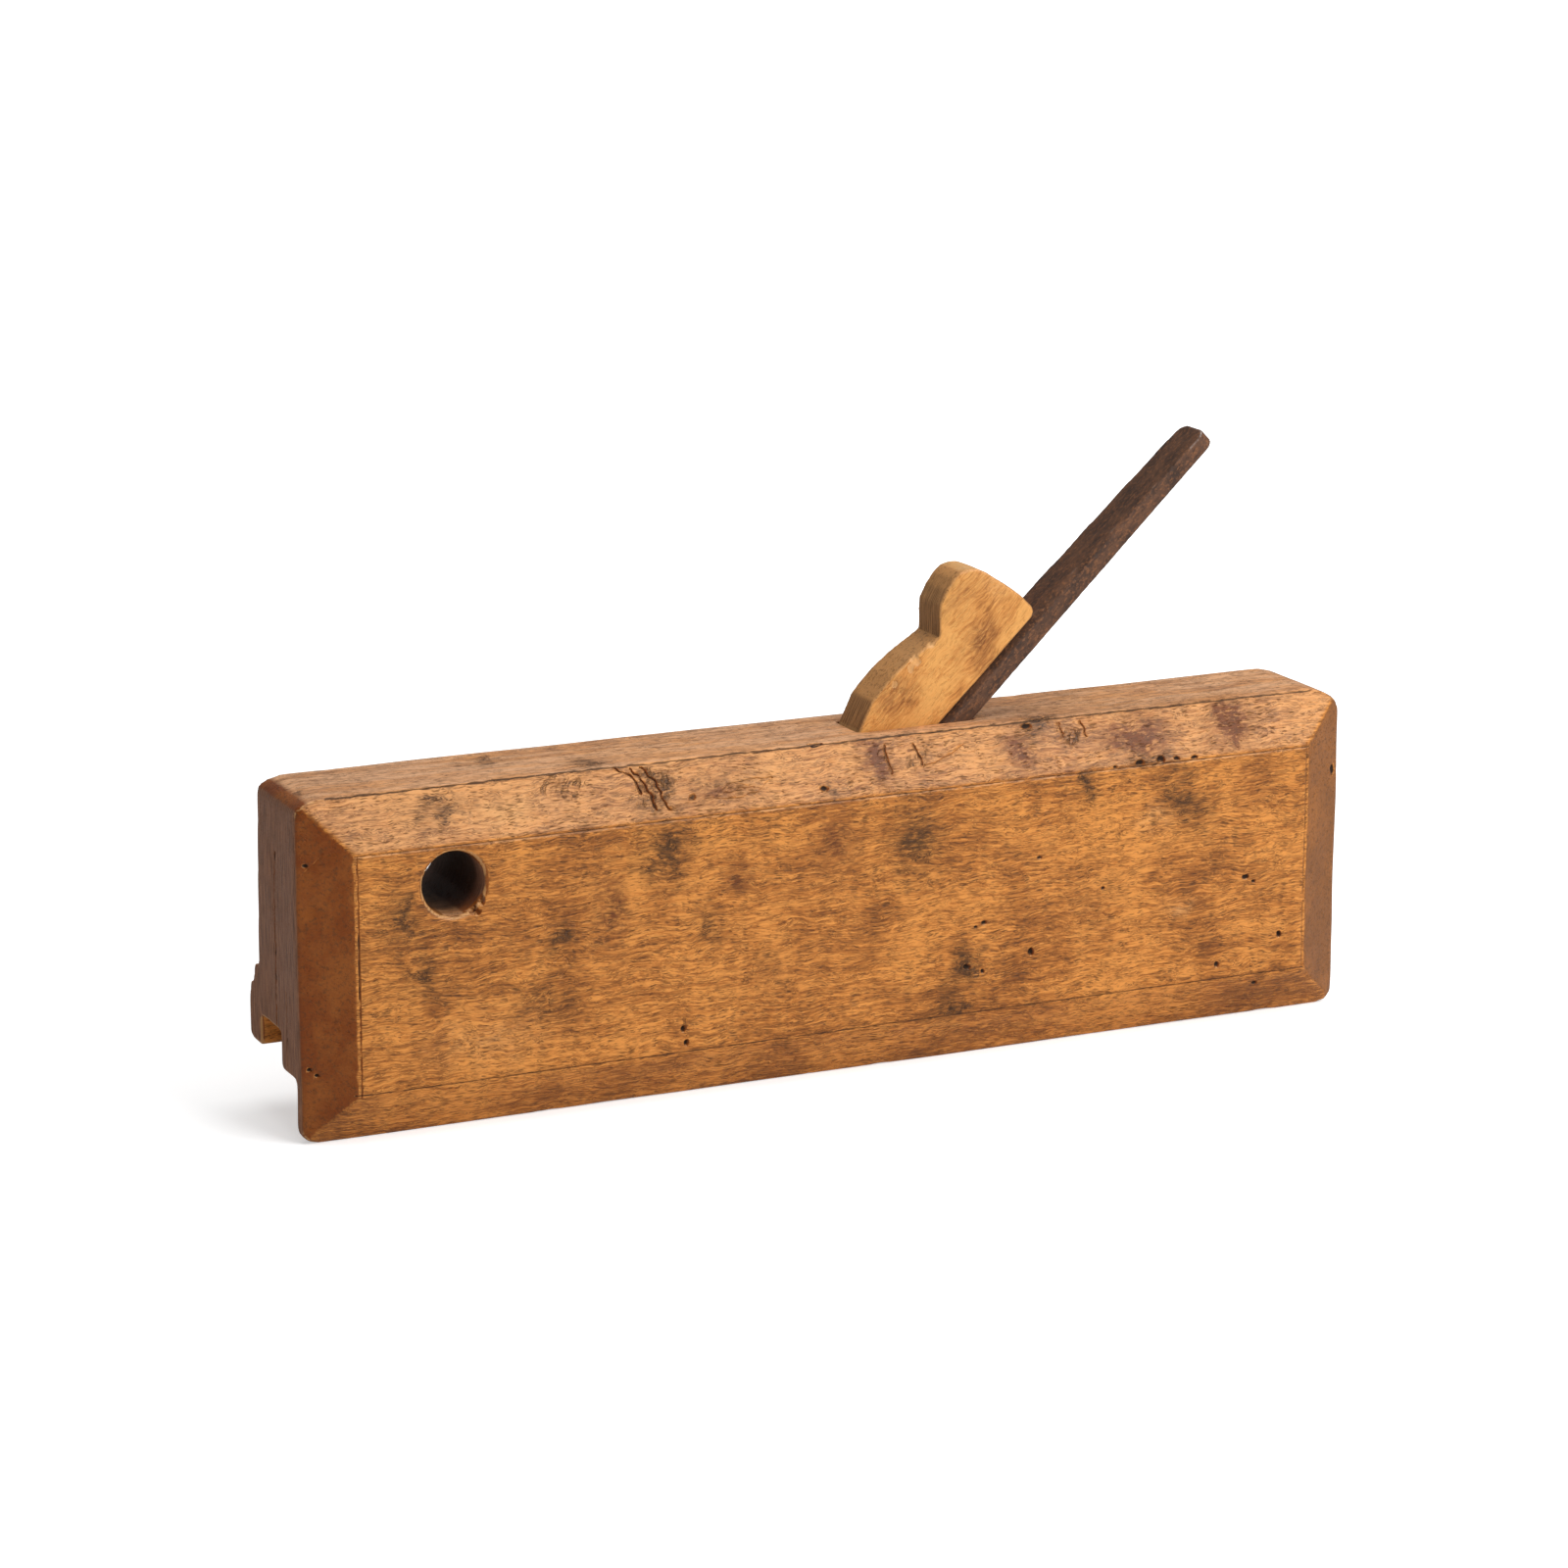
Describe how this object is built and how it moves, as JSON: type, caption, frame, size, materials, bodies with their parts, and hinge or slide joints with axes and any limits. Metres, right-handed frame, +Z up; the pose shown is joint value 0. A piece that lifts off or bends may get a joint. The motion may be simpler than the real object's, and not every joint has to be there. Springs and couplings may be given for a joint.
{
  "type": "wooden tonguing plane",
  "caption": "Long wooden hand plane with a hanging fence, a tanged iron bedded at a slope, a shaped wooden wedge, a coned side throat and a round hanging hole.",
  "frame": {"origin": "middle of the footprint, at the height of the fence's bottom edge", "axes": "+X runs along the plane from toe to heel, +Z is up and square to the sole, -Y faces out of the flat fence side; the iron leans back towards the heel"},
  "size_m": [0.28, 0.0434, 0.1506],
  "materials": {
    "stock_wood": "oiled and worn beech, orange brown with short dark flecks",
    "rusted_iron": "forged iron under old dark rust, rubbed bright on the arrises",
    "wedge_wood": "worn beech, golden brown, chipped along the front edge"
  },
  "bodies": {
    "stock": {"stock": "stock_wood"},
    "iron": {"iron": "rusted_iron"},
    "wedge": {"wedge": "wedge_wood"}
  },
  "joints": [
    {"name": "wedge_slide", "type": "slide", "parent": "stock", "child": "wedge", "axis": [0.7193, 0, 0.6947], "range_m": [0, 0.09]},
    {"name": "iron_slide", "type": "slide", "parent": "stock", "child": "iron", "axis": [0.7193, 0, 0.6947], "range_m": [-0.2, 0.008]}
  ]
}
